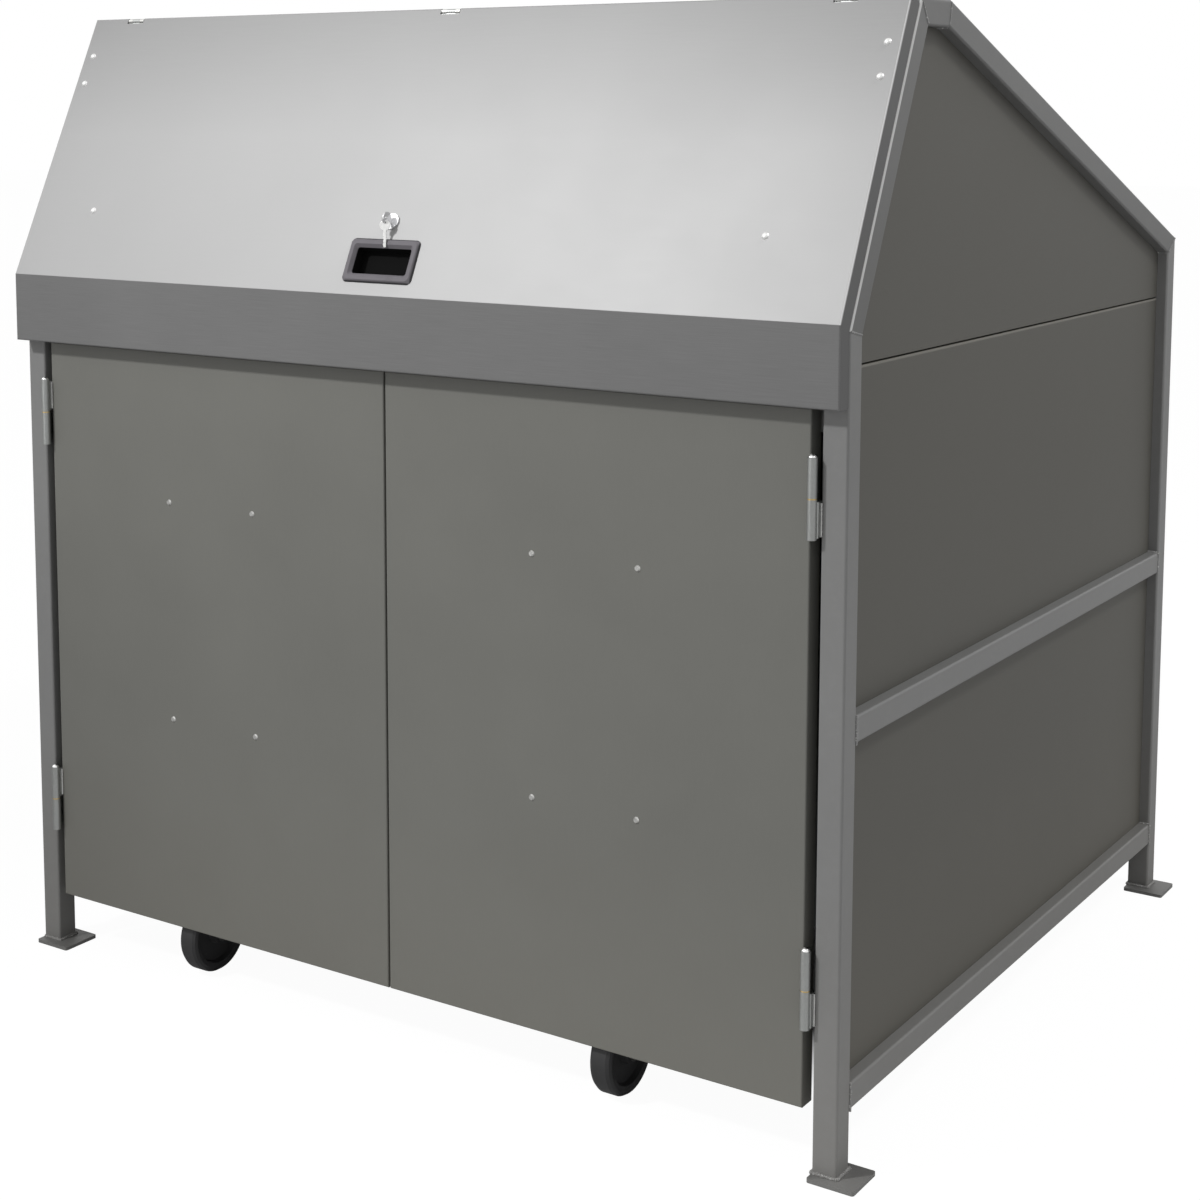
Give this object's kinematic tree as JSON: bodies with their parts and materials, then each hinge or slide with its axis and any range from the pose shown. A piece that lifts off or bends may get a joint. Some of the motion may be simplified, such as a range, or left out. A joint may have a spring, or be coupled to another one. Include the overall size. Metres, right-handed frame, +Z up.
{
  "type": "bin enclosure",
  "caption": "Welded square-tube bin enclosure with recessed sheet panels, a sloping lift-up flap with pocket handle and key lock, swing doors and a wheeled tub parked inside.",
  "frame": {"origin": "middle of the bounding box of the closed enclosure, at floor level", "axes": "+Z up; the doors and the flap face -Y; +X points to the right in the picture"},
  "size_m": [1.655, 1.45, 1.688],
  "materials": {
    "frame_paint": "satin",
    "panel_paint": "satin",
    "door_paint": "satin",
    "flap_metal": "satin",
    "zinc": "satin zinc plate",
    "chrome": "polished",
    "brass": "satin",
    "black_plastic": "fine grain",
    "black_rubber": "matt",
    "wheel_rubber": "matt",
    "black_paint": "gloss",
    "tub_plastic": "fine grain"
  },
  "bodies": {
    "enclosure": {"front_uprights": "frame_paint", "rear_uprights": "frame_paint", "front_rakers": "frame_paint", "rear_rakers": "frame_paint", "apex_tubes": "frame_paint", "mid_rails": "frame_paint", "bottom_rails": "frame_paint", "foot_plates": "frame_paint", "apex_crossbeam": "frame_paint", "front_header": "frame_paint", "rear_crossbeams": "frame_paint", "lock_strikes": "frame_paint", "left_lower_panel": "panel_paint", "left_middle_panel": "panel_paint", "left_gable_panel": "panel_paint", "right_lower_panel": "panel_paint", "right_middle_panel": "panel_paint", "right_gable_panel": "panel_paint", "rear_lower_panel": "panel_paint", "rear_upper_panel": "panel_paint", "roof_panel": "panel_paint", "flap_hinge_frame_leaves": "zinc", "strut_studs": "zinc", "frame_knuckles": "zinc", "door_hinge_pins": "zinc", "bin_base_bars": "zinc", "rear_castor_forks": "zinc", "door_hinge_washers": "brass", "flap_buffers": "black_rubber", "bin_tub": "tub_plastic"},
    "left_door_leaf": {"left_door": "door_paint", "left_door_stiffeners": "door_paint", "left_door_screws": "zinc", "left_door_knuckles": "zinc"},
    "right_door_leaf": {"right_door": "door_paint", "right_door_stiffeners": "door_paint", "right_door_screws": "zinc", "right_door_knuckles": "zinc"},
    "flap": {"flap_shell": "flap_metal", "flap_handle": "black_plastic", "flap_bolts": "zinc", "flap_hinge_flap_leaves": "zinc", "lock_body": "chrome", "lock_rod_guides": "zinc", "strut_brackets": "zinc"},
    "lock": {"lock_rotor": "chrome", "lock_key": "chrome"},
    "left_rod": {"left_lock_rod": "zinc"},
    "right_rod": {"right_lock_rod": "zinc"},
    "left_strut_lower": {"left_strut_rod": "chrome"},
    "right_strut_lower": {"right_strut_rod": "chrome"},
    "left_strut_upper": {"left_strut_cylinder": "black_paint"},
    "right_strut_upper": {"right_strut_cylinder": "black_paint"},
    "left_fork": {"left_castor_fork": "zinc"},
    "right_fork": {"right_castor_fork": "zinc"},
    "left_front_wheel": {"left_castor_wheel": "wheel_rubber"},
    "right_front_wheel": {"right_castor_wheel": "wheel_rubber"},
    "left_back_wheel": {"left_rear_wheel": "wheel_rubber"},
    "right_back_wheel": {"right_rear_wheel": "wheel_rubber"}
  },
  "joints": [
    {"name": "left_door_hinge", "type": "hinge", "parent": "enclosure", "child": "left_door_leaf", "pos_m": [-0.7775, -0.7055, 0.636], "axis": [0, 0, -1], "range_deg": [0, 170]},
    {"name": "right_door_hinge", "type": "hinge", "parent": "enclosure", "child": "right_door_leaf", "pos_m": [0.7425, -0.7055, 0.636], "axis": [0, 0, 1], "range_deg": [0, 170]},
    {"name": "flap_hinge", "type": "hinge", "parent": "enclosure", "child": "flap", "pos_m": [-0.0175, -0.51108, 1.683], "axis": [-1, 0, 0], "range_deg": [0, 80]},
    {"name": "key_turn", "type": "hinge", "parent": "flap", "child": "lock", "pos_m": [-0.0175, -0.66304, 1.3449], "axis": [0, 0.9059, -0.4234], "range_deg": [0, 90]},
    {"name": "right_rod_slide", "type": "slide", "parent": "flap", "child": "right_rod", "axis": [1, 0, 0], "range_m": [0, 0.0198]},
    {"name": "left_rod_slide", "type": "slide", "parent": "flap", "child": "left_rod", "axis": [-1, 0, 0], "range_m": [0, 0.0198]},
    {"name": "left_strut_swing", "type": "hinge", "parent": "enclosure", "child": "left_strut_lower", "pos_m": [-0.7635, -0.677, 1.165], "axis": [1, 0, 0], "range_deg": [0, 10.34]},
    {"name": "left_strut_extend", "type": "slide", "parent": "left_strut_lower", "child": "left_strut_upper", "axis": [0, 0.3028, 0.953], "range_m": [0, 0.0915]},
    {"name": "right_strut_swing", "type": "hinge", "parent": "enclosure", "child": "right_strut_lower", "pos_m": [0.7285, -0.677, 1.165], "axis": [1, 0, 0], "range_deg": [0, 10.34]},
    {"name": "right_strut_extend", "type": "slide", "parent": "right_strut_lower", "child": "right_strut_upper", "axis": [0, 0.3028, 0.953], "range_m": [0, 0.0915]},
    {"name": "left_castor_swivel", "type": "hinge", "parent": "enclosure", "child": "left_fork", "pos_m": [-0.4765, -0.584, 0.146], "axis": [0, 0, 1], "continuous": true},
    {"name": "left_castor_roll", "type": "hinge", "parent": "left_fork", "child": "left_front_wheel", "pos_m": [-0.4765, -0.622, 0.067], "axis": [1, 0, 0], "continuous": true},
    {"name": "left_rear_roll", "type": "hinge", "parent": "enclosure", "child": "left_back_wheel", "pos_m": [-0.4765, 0.388, 0.067], "axis": [1, 0, 0], "continuous": true},
    {"name": "right_castor_swivel", "type": "hinge", "parent": "enclosure", "child": "right_fork", "pos_m": [0.3835, -0.584, 0.146], "axis": [0, 0, 1], "continuous": true},
    {"name": "right_castor_roll", "type": "hinge", "parent": "right_fork", "child": "right_front_wheel", "pos_m": [0.3835, -0.622, 0.067], "axis": [1, 0, 0], "continuous": true},
    {"name": "right_rear_roll", "type": "hinge", "parent": "enclosure", "child": "right_back_wheel", "pos_m": [0.3835, 0.388, 0.067], "axis": [1, 0, 0], "continuous": true}
  ],
  "couplings": [
    {"joint": "left_rod_slide", "follows": "right_rod_slide", "ratio": 1},
    {"joint": "key_turn", "follows": "right_rod_slide", "rad_per_m": 79.33},
    {"joint": "left_strut_swing", "follows": "flap_hinge", "ratio": 0.12897},
    {"joint": "left_strut_extend", "follows": "flap_hinge", "m_per_rad": 0.065495},
    {"joint": "right_strut_swing", "follows": "flap_hinge", "ratio": 0.12897},
    {"joint": "right_strut_extend", "follows": "flap_hinge", "m_per_rad": 0.065495}
  ]
}
